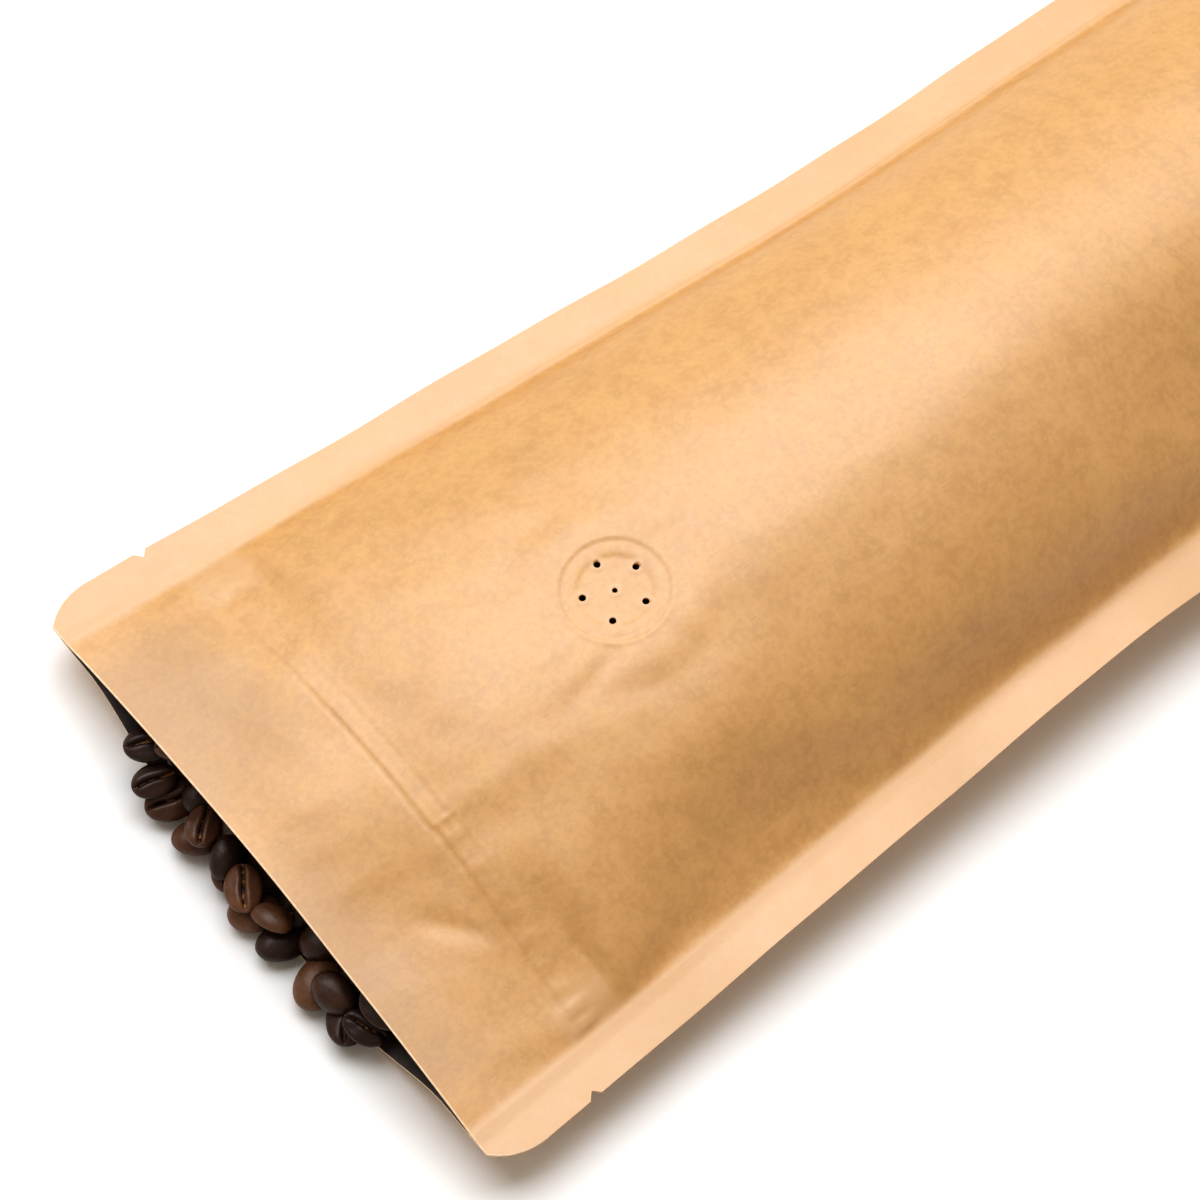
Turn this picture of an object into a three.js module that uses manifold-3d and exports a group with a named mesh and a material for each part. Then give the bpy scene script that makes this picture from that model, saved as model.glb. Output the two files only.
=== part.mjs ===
import * as THREE from "three";
import { mergeVertices } from "three/addons/utils/BufferGeometryUtils.js";
import Module from "manifold-3d";

const wasm = await Module();
wasm.setup();
const { lerp, smoothstep } = THREE.MathUtils;

// A filled kraft pouch lying on its back. x runs across, y from the mouth to the bottom edge, z up.
// All sizes are in millimetres. u and v are flat places on a panel: u across from the middle line,
// v down from the mouth.

// The pouch as it is cut and sealed
const pouchWidth = 140;
const pouchHeight = 266;
const gussetDepth = 71;
const sideSeal = 8.5;
const bottomSeal = 10;
const film = 0.6;
const mouthCorner = 13.5;
const mouthTrim = 3;
const footCorner = 6;
const notchStation = 22;
const notchSize = 1.35;

// The pouch as it lies, swollen by its contents
const mouthHalfWidth = 68.5;
const waistHalfWidth = 58.6;
const waistStation = 165;
const footFlare = 1.8;
const flareLead = 8;
const mouthSealHeight = 10.5;
const footSealHeight = 16;
const trayRun = 14;
const lipRise = 0.48;
const lipReach = 42;
const pinchShare = 0.88;
const lipFlatShare = 0.48;
const bellyReach = 60;
const creaseDepth = 22;
const webBulge = 2.5;
const webWall = 1.6;
const tipInset = 1.3;
const slitEnd = 1;
const wallShares = [0.15, 0.3, 0.4];

// Zip: two tracks pressed into each panel
const zipStation = 28.3;
const zipPitch = 2.6;
const zipRelief = 0.45;
const zipHalfLength = 53;
const zipBand = 10;
const zipTape = 0.5;
const zipRib = 1.5;
const fitGap = 0.4;

// Valve welded under the front panel, and the pin holes over it
const valveStation = 78;
const valveRadius = 10;
const valveRecessRadius = 7;
const valveRimHeight = 0.4;
const valveDepth = 4.6;
const flatReach = 19;
const valveSink = 0.3;
const valveFlange = 1.1;
const valveDraft = 0.4;
const rimChamfer = 0.6;
const pinHoleRadius = 0.7;
const middleHoleShare = 0.8;
const pinHoleCircle = 6;
const pinHoleCount = 5;
const pinHoleTurn = 0.51;

// Beans: a heap that fills the pouch and slopes down to the lip
const heapGap = 0.6;
const heapDrawIn = 0.2;
const heapSlope = THREE.MathUtils.degToRad(33);
const heapToe = 2;
const heapStart = 1;
const heapEndGap = 7 * heapGap;
const beanLength = 10.4;
const beanWidth = 7.6;
const beanDepth = 5.6;
const beanPitch = 8.8;
const beanRows = 5;
const beanRowStep = 6;
const beanFirstRow = -1.5;
const beanSeed = 7;
const beanShift = 0.3;
const beanTilt = 0.5;
const beanSizeSpread = 0.2;
const bellyShare = 0.6;

// Facets
const panelColumns = 22;
const rowStep = 9;
const innerRowStep = 9;
const coreColumns = 12;
const sealMiddle = 0.45 * sideSeal;
const edgeColumn = 1.2;
const rimSides = 28;
const valveSides = 20;
const holeSides = 8;
const cutterLength = 6 * film;

const panelHalf = pouchWidth / 2 - sideSeal;
const gussetTop = pouchHeight - gussetDepth;
const vector = (x, y, z) => new THREE.Vector3(x, y, z);
const range = (count, at) => Array.from({ length: count }, (_, i) => at(i));
const spread = (low, high, steps) => range(steps + 1, (i) => lerp(low, high, i / steps));

// Half angle of a circular arc that is `ratio` times as long as its chord.
function archAngle(ratio) {
  let angle = Math.sqrt(6 * (ratio - 1));
  for (let step = 0; step < 8; step += 1) {
    angle -= (angle - ratio * Math.sin(angle)) / (1 - ratio * Math.cos(angle));
  }
  return angle;
}

// Cross-section at v. The front panel keeps its cut width, so where the seals draw in it arches up,
// but the lip stays flatter. The back panel lies on the table: deep in the pouch it rises to the
// seals in a quarter of an ellipse, and at the lip in a longer S, up to where the panels are pinched.
function sectionAt(v) {
  const station = Math.max(v, 0);
  const half =
    lerp(mouthHalfWidth, waistHalfWidth, Math.min(station / waistStation, 1)) +
    footFlare * smoothstep(station, waistStation - flareLead, pouchHeight);
  const inner = half - sideSeal;
  const sealZ = lerp(mouthSealHeight, footSealHeight, smoothstep(station, 0, waistStation));
  const ease = lerp(lipRise, 1, smoothstep(station, 0, lipReach));
  const angle = 2 * Math.atan(ease * Math.tan(archAngle(panelHalf / inner) / 2));
  const radius = inner / Math.sin(angle);
  const flat = inner - trayRun;
  const wallLength = (Math.PI / 2) * Math.sqrt((trayRun ** 2 + sealZ ** 2) / 2);
  const flatShare = flat / (flat + wallLength);
  const belly = smoothstep(station, 0, bellyReach);
  return { half, inner, sealZ, angle, radius, flat, flatShare, belly };
}

function sealPoint(u, v, lift) {
  const { half, inner, sealZ } = sectionAt(v);
  const over = Math.abs(u) - panelHalf;
  const x = lerp(inner + film, half, over / sideSeal);
  return vector(Math.sign(u) * x, v, sealZ + lift);
}

const crownAt = (v) => {
  const { sealZ, radius, angle } = sectionAt(v);
  return sealZ + radius * (1 - Math.cos(angle));
};
const valveSlope = (crownAt(valveStation + 1) - crownAt(valveStation - 1)) / 2;

// Front panel, `out` millimetres outside its inner face. It is flat over the valve.
function frontPoint(u, v, out) {
  if (Math.abs(u) > panelHalf) return sealPoint(u, v, out);
  const { sealZ, angle, radius } = sectionAt(v);
  const turn = (angle * u) / panelHalf;
  const x = (radius + out) * Math.sin(turn);
  const z = sealZ + (radius + out) * Math.cos(turn) - radius * Math.cos(angle);
  const away = Math.hypot(u, v - valveStation);
  const level = 1 - smoothstep(away, valveRadius, flatReach);
  const plane = crownAt(valveStation) - valveSink + valveSlope * (v - valveStation) + out;
  return vector(lerp(x, u, level), v, lerp(z, plane, level));
}

// Back panel, `out` millimetres outside its inner face.
function backPoint(u, v, out) {
  if (Math.abs(u) > panelHalf) return sealPoint(u, v, -out);
  const { inner, sealZ, flat, flatShare, belly } = sectionAt(v);
  const along = Math.abs(u) / panelHalf;
  const floor = film - out;
  const turn = ((Math.PI / 2) * Math.max(along - flatShare, 0)) / (1 - flatShare);
  const deepX = flat * Math.min(along / flatShare, 1) + (trayRun + out) * Math.sin(turn);
  const deepZ = sealZ - (sealZ - floor) * Math.cos(turn);
  const lipZ = lerp(floor, sealZ - out, smoothstep(along, lipFlatShare, pinchShare));
  return vector(Math.sign(u) * lerp(inner * along, deepX, belly), v, lerp(lipZ, deepZ, belly));
}

// How far a rounded corner draws the panel's end in at u.
function cornerCut(u, radius) {
  const over = Math.abs(u) - (pouchWidth / 2 - radius);
  return over <= 0 ? 0 : radius - Math.sqrt(Math.max(radius ** 2 - over ** 2, 0));
}

// The mouth is cut across after its corners are rounded, which takes the end off each round.
const mouthRow = (u) => Math.max(cornerCut(u, mouthCorner) - mouthTrim, 0);
const footRow = (u) => pouchHeight - cornerCut(u, footCorner);
const flatRow = (u, v) => lerp(mouthRow(u), footRow(u), v / pouchHeight);

// The gusset is sealed to the panels along a half oval, and its fold hangs inside.
const ovalShare = (u) => Math.sqrt(Math.max(1 - (u / panelHalf) ** 2, 0));
const attachRow = (u) => gussetTop + (gussetDepth - bottomSeal) * ovalShare(u);
const creaseRow = (u) => attachRow(u) - creaseDepth * ovalShare(u);

// The pressed zip tracks stand out of both panels and die away before the side seals.
function zipLift(u, v) {
  const fade = 1 - smoothstep(Math.abs(u), zipHalfLength, panelHalf);
  const track = Math.abs(Math.abs(v - zipStation) - zipPitch / 2);
  return zipRelief * fade * Math.max(1 - track / (zipPitch / 4), 0);
}

// A closed skin over rings that all have the same number of points. The first and last ring are
// folded shut, so their points meet in pairs or all together.
function skin(rings) {
  const across = rings[0].length;
  const positions = rings.flat().flatMap((p) => [p.x, p.y, p.z]);
  const index = [];
  for (let row = 0; row + 1 < rings.length; row += 1) {
    for (let i = 0; i < across; i += 1) {
      const a = row * across + i;
      const b = row * across + ((i + 1) % across);
      index.push(a, b, b + across, a, b + across, a + across);
    }
  }
  const geometry = new THREE.BufferGeometry();
  geometry.setAttribute("position", new THREE.Float32BufferAttribute(positions, 3));
  geometry.setIndex(index);
  return geometry;
}

function signedVolume(vertices, triangles) {
  const corner = (i) => vector().fromArray(vertices, 3 * i);
  let volume = 0;
  for (let t = 0; t < triangles.length; t += 3) {
    const [a, b, c] = [0, 1, 2].map((k) => corner(triangles[t + k]));
    volume += a.dot(b.cross(c)) / 6;
  }
  return volume;
}

function toSolid(geometry) {
  const bare = geometry.clone();
  bare.deleteAttribute("normal");
  bare.deleteAttribute("uv");
  const merged = mergeVertices(bare, 1e-3);
  const index = Array.from(merged.index.array);
  const kept = [];
  for (let t = 0; t < index.length; t += 3) {
    const [a, b, c] = index.slice(t, t + 3);
    if (a !== b && b !== c && c !== a) kept.push(a, b, c);
  }
  const vertices = merged.attributes.position.array;
  if (signedVolume(vertices, kept) < 0) kept.reverse();
  const mesh = new wasm.Mesh({
    numProp: 3,
    vertProperties: new Float32Array(vertices),
    triVerts: new Uint32Array(kept),
  });
  return new wasm.Manifold(mesh);
}

function toGeometry(solid) {
  const { vertProperties, triVerts } = solid.getMesh();
  const geometry = new THREE.BufferGeometry();
  geometry.setAttribute("position", new THREE.Float32BufferAttribute(vertProperties, 3));
  geometry.setIndex(Array.from(triVerts));
  return geometry;
}

const ringOf = (columns, frontAt, backAt) => [
  ...columns.map(frontAt),
  ...columns.slice().reverse().map(backAt),
];
const foldOf = (columns, at) => ringOf(columns, at, at);

// Rows from `first` to `last`, about `step` apart, with the zip's own rows in their place.
function panelRows(first, last, step) {
  const zipRows = range(9, (i) => zipStation + ((i - 4) * zipPitch) / 4);
  const plain = spread(first, last, Math.round((last - first) / step));
  const clear = plain.filter((v) => Math.abs(v - zipStation) > zipPitch + 1);
  return [...clear, ...zipRows].sort((a, b) => a - b);
}

// The pouch's outside, closed across the mouth.
function outsideSolid() {
  const panel = spread(-panelHalf, panelHalf, panelColumns);
  const edge = pouchWidth / 2;
  const sealColumns = [panelHalf + sealMiddle, edge - edgeColumn, edge];
  const columns = [...sealColumns.map((u) => -u).reverse(), ...panel, ...sealColumns];
  const slitHalf = panelHalf - slitEnd;
  const front = (u, v) => frontPoint(u, v, film + zipLift(u, v));
  const back = (u, v) => backPoint(u, v, film);
  const mouthMiddle = (u) => front(u, mouthRow(u)).lerp(back(u, mouthRow(u)), 0.5);
  const edgeWall = (u, share) => front(u, footRow(u)).lerp(back(u, footRow(u)), share);
  const isOpen = (u) => Math.abs(u) < slitHalf;
  const footRing = (row, share) =>
    ringOf(
      columns,
      (u) => (isOpen(u) ? frontPoint(u, row(u), -film) : edgeWall(u, share)),
      (u) => (isOpen(u) ? backPoint(u, row(u), -film) : edgeWall(u, 1 - share)),
    );
  const crease = (u) =>
    isOpen(u)
      ? frontPoint(u, creaseRow(u), -film).lerp(backPoint(u, creaseRow(u), -film), 0.5)
      : edgeWall(u, 0.5);
  const web = (u, face) => {
    const middle = face(u, attachRow(u), -film).lerp(crease(u), 0.5);
    return middle.add(vector(0, webBulge * ovalShare(u), 0));
  };
  const [footShare, attachShare, webShare] = wallShares;
  const webRing = ringOf(
    columns,
    (u) => (isOpen(u) ? web(u, frontPoint) : edgeWall(u, webShare)),
    (u) => (isOpen(u) ? web(u, backPoint) : edgeWall(u, 1 - webShare)),
  );
  const rows = panelRows(0, pouchHeight, rowStep).map((v) =>
    ringOf(
      columns,
      (u) => front(u, flatRow(u, v)),
      (u) => back(u, flatRow(u, v)),
    ),
  );
  const foot = [footRing(footRow, footShare), footRing(attachRow, attachShare), webRing];
  return toSolid(skin([foldOf(columns, mouthMiddle), ...rows, ...foot, foldOf(columns, crease)]));
}

// The space inside, `inset` within the film, from row `first` to `endGap` short of the gusset.
// Towards the lip it is narrower by the share `drawIn`.
function insideSolid({ inset, drawIn, first, endGap, columnCount }) {
  const reach = panelHalf - tipInset - inset;
  const columns = spread(-reach, reach, columnCount);
  const across = (u, v) => u * (1 - drawIn * (1 - smoothstep(v, 0, bellyReach)));
  const front = (u, v) => frontPoint(across(u, v), v, -inset);
  const back = (u, v) => backPoint(across(u, v), v, -inset);
  const wall = webWall + endGap;
  const endRow = (u) => attachRow(u) - wall;
  const foldRow = (u) => creaseRow(u) - wall;
  const rowCount = Math.round((gussetTop - first) / innerRowStep);
  const ringAt = (rowOf) =>
    ringOf(
      columns,
      (u) => front(u, rowOf(u)),
      (u) => back(u, rowOf(u)),
    );
  const rows = spread(0, 1, rowCount).map((share) => ringAt((u) => lerp(first, endRow(u), share)));
  const between = (u, v) => front(u, v).lerp(back(u, v), 0.5);
  const fold = (u) => between(u, foldRow(u));
  const web = (u, face) => {
    const middle = face(u, endRow(u)).lerp(fold(u), 0.5);
    return middle.add(vector(0, (webBulge - film) * ovalShare(u), 0));
  };
  const webRing = ringOf(
    columns,
    (u) => web(u, front),
    (u) => web(u, back),
  );
  const start = foldOf(columns, (u) => between(u, first));
  return toSolid(skin([start, ...rows, webRing, foldOf(columns, fold)]));
}

// A frame on the front panel over the valve: x across, y down the panel, z out of it.
const valveFrame = new THREE.Matrix4()
  .makeBasis(
    vector(1, 0, 0),
    vector(0, 1, valveSlope).normalize(),
    vector(0, -valveSlope, 1).normalize(),
  )
  .setPosition(0, valveStation, crownAt(valveStation) - valveSink);

const lathe = (profile, sides) =>
  new THREE.LatheGeometry(
    profile.map(([r, z]) => new THREE.Vector2(r, z)),
    sides,
  ).rotateX(Math.PI / 2);

function valveRim() {
  const top = film + valveRimHeight;
  const bed = film / 2;
  const profile = [
    [valveRecessRadius, bed],
    [valveRadius + rimChamfer / 2, bed],
    [valveRadius + rimChamfer / 2, film],
    [valveRadius - rimChamfer / 2, top],
    [valveRecessRadius + rimChamfer, top],
    [valveRecessRadius, film],
    [valveRecessRadius, bed],
  ];
  return toSolid(lathe(profile, rimSides).applyMatrix4(valveFrame));
}

function pinHoles() {
  const hole = (x, y, radius) =>
    new THREE.CylinderGeometry(radius, radius, cutterLength, holeSides)
      .rotateX(Math.PI / 2)
      .translate(x, y, film / 2);
  const ring = range(pinHoleCount, (i) => {
    const turn = pinHoleTurn + (2 * Math.PI * i) / pinHoleCount;
    return hole(pinHoleCircle * Math.cos(turn), pinHoleCircle * Math.sin(turn), pinHoleRadius);
  });
  const holes = [...ring, hole(0, 0, middleHoleShare * pinHoleRadius)];
  return holes.map((geometry) => toSolid(geometry.applyMatrix4(valveFrame)));
}

function tearNotches() {
  return [-1, 1].map((side) => {
    const edge = sealPoint((side * pouchWidth) / 2, notchStation, 0);
    const cutter = new THREE.CylinderGeometry(notchSize, notchSize, cutterLength, 4);
    return toSolid(cutter.rotateX(Math.PI / 2).translate(edge.x, edge.y, edge.z));
  });
}

function pouchSolid() {
  const space = { inset: 0, drawIn: 0, first: -mouthCorner, endGap: 0, columnCount: panelColumns };
  const hollow = outsideSolid().subtract(insideSolid(space));
  const cutters = [...pinHoles(), ...tearNotches()];
  return cutters.reduce((solid, cutter) => solid.subtract(cutter), hollow.add(valveRim()));
}

// One half of the zip on a panel's inner face, grown by `grow` where room is cut for it.
function zipSolid(face, grow) {
  const half = zipBand / 2 + grow;
  const top = fitGap - 2 * grow;
  const tape = fitGap + zipTape + grow;
  const rib = tape + zipRib;
  const ribHalf = zipPitch / 4 + grow;
  const profile = [
    [-half, top],
    [half, top],
    [half, tape],
    [ribHalf, tape],
    [ribHalf, rib],
    [-ribHalf, rib],
    [-ribHalf, tape],
    [-half, tape],
  ];
  const reach = zipHalfLength + grow;
  const columns = spread(tipInset - panelHalf, panelHalf - tipInset, panelColumns);
  const stations = [-reach, ...columns.filter((u) => Math.abs(u) < reach - 1), reach];
  const at = (u, dv, depth) => face(u, zipStation + dv, -depth);
  const rings = stations.map((u) => profile.map(([dv, depth]) => at(u, dv, depth)));
  const cap = (u) => profile.map(() => at(u, 0, (top + tape) / 2));
  return toSolid(skin([cap(-reach), ...rings, cap(reach)]));
}

function valveSolid(grow) {
  const top = -fitGap + 2 * grow;
  const rim = valveRadius - rimChamfer + grow;
  const cup = valveRecessRadius + grow;
  const dish = grow > 0 ? top : top - valveFlange / 2;
  const flange = top - valveFlange - 3 * grow;
  const profile = [
    [0, dish],
    [cup - rimChamfer, dish],
    [cup, top],
    [rim, top],
    [rim, flange],
    [cup + valveDraft, flange],
    [cup - valveDraft, -valveDepth - grow],
    [0, -valveDepth - grow],
  ];
  return toSolid(lathe(profile, valveSides).applyMatrix4(valveFrame));
}

// Everything above the heap's slope, to be cut from the core.
function aboveHeap() {
  const size = pouchHeight;
  const block = new THREE.BoxGeometry(size, size, size).translate(0, 0, size / 2);
  return toSolid(block.rotateX(heapSlope).translate(0, 0, heapToe));
}

// Height of a panel's inner face over the point (x, y).
function heightAt(face, x, y) {
  let low = 0;
  let high = panelHalf;
  for (let step = 0; step < 20; step += 1) {
    const middle = (low + high) / 2;
    if (face(middle, y, 0).x < Math.abs(x)) low = middle;
    else high = middle;
  }
  return face(low, y, 0).z;
}

// Lowest and highest free place over the point (x, y), clear of film and zip.
function freeSpan(x, y) {
  if (y < -fitGap) return [fitGap / 4, Infinity];
  const nearZip = Math.abs(y - zipStation) < zipBand / 2 + 1;
  const keep = heapGap + (nearZip ? fitGap + zipTape + zipRib : 0);
  return [heightAt(backPoint, x, y) + keep, heightAt(frontPoint, x, y) - keep];
}

// Small repeatable random draws, from 0 to 1.
function drawer(seed) {
  let state = seed;
  return () => {
    state = (state * 16807) % 2147483647;
    return state / 2147483647;
  };
}

// One bean with few sides: an egg shape, flatter underneath.
function beanGeometry(length, width, depth) {
  const bean = new THREE.SphereGeometry(0.5, 7, 5);
  const place = bean.attributes.position;
  for (let i = 0; i < place.count; i += 1) {
    const y = place.getY(i);
    place.setY(i, y < 0 ? bellyShare * y : y);
  }
  return bean.rotateX(Math.PI / 2).scale(length, width, depth);
}

// Beans lie in staggered rows up the heap's slope. One that would touch film or zip is left out.
function heapBeans() {
  const draw = drawer(beanSeed);
  const beans = [];
  const perRow = 2 * Math.floor(panelHalf / beanPitch) + 1;
  for (let row = 0; row < beanRows; row += 1) {
    for (let i = 0; i < perRow; i += 1) {
      const stagger = row % 2 === 0 ? 0 : 0.5;
      const x = (i - (perRow - 1) / 2 + stagger + beanShift * (draw() - 0.5)) * beanPitch;
      const y = beanFirstRow + (row + beanShift * (draw() - 0.5)) * beanRowStep;
      const size = 1 + beanSizeSpread * (draw() - 0.5);
      const heading = Math.PI * draw();
      const pitch = heapSlope * smoothstep(row, 0, 2) + beanTilt * (draw() - 0.5);
      const roll = beanTilt * (draw() - 0.5) + (draw() < 0.5 ? Math.PI : 0);
      const rest = Math.max(y * Math.tan(heapSlope), 0) + heapToe + 0.5 + draw();
      const turn = new THREE.Euler(pitch, roll, heading, "XYZ");
      const shape = beanGeometry(size * beanLength, size * beanWidth, size * beanDepth);
      shape.applyMatrix4(new THREE.Matrix4().makeRotationFromEuler(turn));
      shape.computeBoundingBox();
      const sink = Math.max(rest, film + heapGap - shape.boundingBox.min.z);
      shape.translate(x, y, sink);
      const place = shape.attributes.position;
      const fits = range(place.count, (k) => {
        const [low, high] = freeSpan(place.getX(k), place.getY(k));
        return place.getZ(k) > low && place.getZ(k) < high;
      });
      if (fits.every(Boolean)) beans.push(toSolid(shape));
    }
  }
  return beans;
}

function heapSolid() {
  const zips = [zipSolid(frontPoint, fitGap), zipSolid(backPoint, fitGap)];
  const room = [...zips, valveSolid(fitGap), aboveHeap()];
  const filled = insideSolid({
    inset: heapGap,
    drawIn: heapDrawIn,
    first: heapStart,
    endGap: heapEndGap,
    columnCount: coreColumns,
  });
  const core = room.reduce((solid, cutter) => solid.subtract(cutter), filled);
  return heapBeans().reduce((solid, bean) => solid.add(bean), core);
}

const kraft = new THREE.MeshStandardMaterial({ color: 0xd9ab74, roughness: 0.7, metalness: 0 });
const roast = new THREE.MeshStandardMaterial({ color: 0x3a2116, roughness: 0.5, metalness: 0 });
const clear = new THREE.MeshStandardMaterial({ color: 0xe4e2dc, roughness: 0.4, metalness: 0 });
const vent = new THREE.MeshStandardMaterial({ color: 0x2f2b29, roughness: 0.4, metalness: 0 });

const pouch = new THREE.Group();
const pieces = [
  ["pouch", pouchSolid(), kraft],
  ["beans", heapSolid(), roast],
  ["zip_front", zipSolid(frontPoint, 0), clear],
  ["zip_back", zipSolid(backPoint, 0), clear],
  ["valve", valveSolid(0), vent],
];
for (const [name, solid, material] of pieces) {
  const mesh = new THREE.Mesh(toGeometry(solid), material);
  mesh.name = name;
  pouch.add(mesh);
}

// The origin is under the middle of the whole.
const middle = new THREE.Box3().setFromObject(pouch).getCenter(vector());
pouch.position.set(-middle.x, -middle.y, 0);

export default pouch;
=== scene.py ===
import math
import bpy
import numpy as np
from mathutils import Matrix, Vector


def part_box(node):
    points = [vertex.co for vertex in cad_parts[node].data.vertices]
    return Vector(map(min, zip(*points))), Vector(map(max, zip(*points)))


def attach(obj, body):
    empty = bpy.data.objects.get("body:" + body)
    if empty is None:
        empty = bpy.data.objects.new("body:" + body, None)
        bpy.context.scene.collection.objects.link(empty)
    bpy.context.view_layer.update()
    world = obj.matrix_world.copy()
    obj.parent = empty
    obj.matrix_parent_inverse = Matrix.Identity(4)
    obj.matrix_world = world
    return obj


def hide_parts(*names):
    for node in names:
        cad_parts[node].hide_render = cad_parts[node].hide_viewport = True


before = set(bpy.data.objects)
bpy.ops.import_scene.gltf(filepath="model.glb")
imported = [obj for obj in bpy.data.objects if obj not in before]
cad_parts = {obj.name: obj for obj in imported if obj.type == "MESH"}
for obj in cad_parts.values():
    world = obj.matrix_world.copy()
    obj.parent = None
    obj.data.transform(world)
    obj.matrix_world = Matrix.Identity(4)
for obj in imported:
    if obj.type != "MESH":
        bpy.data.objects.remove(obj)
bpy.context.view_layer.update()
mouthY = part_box("pouch")[0].y  # plane of the mouth
mm = 0.001
hair = 1e-6  # nearer than this counts as touching
print("frame loaded, mouth at y", round(mouthY, 4))


# small helpers

def ease(t, low, high):
    x = np.clip((t - low) / (high - low), 0, 1)
    return x * x * (3 - 2 * x)


def mix(a, b, t):
    return a + (b - a) * t


def bell(t, width):
    return np.exp(-(t / width) ** 2)


def steps(*runs):
    # places along a line, one run of (from, to, step) after another
    places = [runs[0][0]]
    for low, high, step in runs:
        count = max(1, round(abs(high - low) / step))
        places.extend(np.linspace(low, high, count + 1)[1:])
    return np.array(places)


def ripples(u, v, wave, seed, count=28):
    # smooth random swell of about that wavelength, around -1 to 1
    draw = np.random.default_rng(seed)
    turn, phase = draw.uniform(0, 2 * math.pi, (2, count))
    pace = 2 * math.pi / wave * draw.uniform(0.65, 1.35, count)
    total = 0
    for k in range(count):
        total = total + np.cos(pace[k] * (u * math.cos(turn[k]) + v * math.sin(turn[k])) + phase[k])
    return total / math.sqrt(count)


def deselect():
    if bpy.context.object and bpy.context.object.mode != "OBJECT":
        bpy.ops.object.mode_set(mode="OBJECT")
    bpy.ops.object.select_all(action="DESELECT")


def makeActive(piece):
    deselect()
    piece.select_set(True)
    bpy.context.view_layer.objects.active = piece


def editMode():
    bpy.ops.object.mode_set(mode="EDIT")


def objectMode():
    bpy.ops.object.mode_set(mode="OBJECT")


def editAll(piece):
    makeActive(piece)
    editMode()
    bpy.ops.mesh.select_all(action="SELECT")


def joinPieces(pieces):
    deselect()
    for piece in pieces:
        piece.select_set(True)
    bpy.context.view_layer.objects.active = pieces[0]
    bpy.ops.object.join()
    return bpy.context.object


def readPlaces(piece):
    flat = np.empty(len(piece.data.vertices) * 3)
    piece.data.vertices.foreach_get("co", flat)
    return flat.reshape(-1, 3)


def writePlaces(piece, places):
    piece.data.vertices.foreach_set("co", np.asarray(places, float).ravel())
    piece.data.update()


def addTone(piece, name, tone):
    # a value at each point, which the material reads by name
    made = piece.data.attributes.new(name, "FLOAT", "POINT")
    made.data.foreach_set("value", tone.astype(np.float32))


def toMetres(places):
    # millimetres from the mouth to metres in the frame
    return np.asarray(places) * mm + (0, mouthY, 0)


def applyModifier(piece, kind, **settings):
    makeActive(piece)
    made = piece.modifiers.new(kind.lower(), kind)
    for key, value in settings.items():
        setattr(made, key, value)
    bpy.ops.object.modifier_apply(modifier=made.name)


def wrappedSheet(name, rows):
    # a flat grid laid over rows of points, each row running round the piece and back to its start
    across, along = rows.shape[1], rows.shape[0] - 1
    deselect()
    bpy.ops.mesh.primitive_grid_add(x_subdivisions=across, y_subdivisions=along, size=1)
    piece = bpy.context.object
    piece.name = name
    flat = readPlaces(piece)
    col = np.rint((flat[:, 0] + 0.5) * across).astype(int)
    row = np.rint((flat[:, 1] + 0.5) * along).astype(int)
    writePlaces(piece, toMetres(rows[row, col % across]))
    corners = np.empty(len(piece.data.loops), int)
    piece.data.loops.foreach_get("vertex_index", corners)
    corners = corners.reshape(-1, 4)  # a grid has only quads
    return piece, row[corners].min(1), col[corners].min(1)


def closeSheet(piece):
    editAll(piece)
    bpy.ops.mesh.delete_loose()
    bpy.ops.mesh.select_all(action="SELECT")
    bpy.ops.mesh.remove_doubles(threshold=2e-6)
    bpy.ops.mesh.dissolve_degenerate(threshold=1e-7)
    bpy.ops.mesh.select_all(action="SELECT")
    bpy.ops.mesh.normals_make_consistent(inside=False)
    objectMode()


def smooth(piece, degrees):
    makeActive(piece)
    bpy.ops.object.shade_smooth_by_angle(angle=math.radians(degrees))


# the pouch's form: u runs across from the middle line, v down from the mouth, in millimetres

pouchSize = dict(
    width=140, height=266, gussetDepth=71, sideSeal=8.5, bottomSeal=10,
    mouthCorner=13.5, mouthTrim=3, footCorner=6, notchStation=22, notchSize=1.35,
    mouthHalfWidth=68.5, waistHalfWidth=58.6, waistStation=165, waistEase=0.06, footFlare=1.8, flareLead=8,
    mouthSealHeight=10.5, footSealHeight=16, trayRun=14, lipRise=0.48, lipReach=42,
    pinchShare=0.88, lipFlatShare=0.48, bellyReach=60, creaseDepth=22, webBulge=2.5,
    outside=0.6, lining=0.2, deepLining=-0.35, sealSkin=0.25,  # faces of the film, out from the panel
    liningFall=(3, 16), liningClose=2, gussetGap=2, gussetHold=0.3, wallRows=6, webRows=8,
)
panelHalf = pouchSize["width"] / 2 - pouchSize["sideSeal"]
gussetTop = pouchSize["height"] - pouchSize["gussetDepth"]


def archAngle(ratio):
    # half angle of an arc that is ratio times as long as its chord
    angle = np.sqrt(6 * (ratio - 1))
    for _ in range(8):
        angle = angle - (angle - ratio * np.sin(angle)) / (1 - ratio * np.cos(angle))
    return angle


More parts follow.
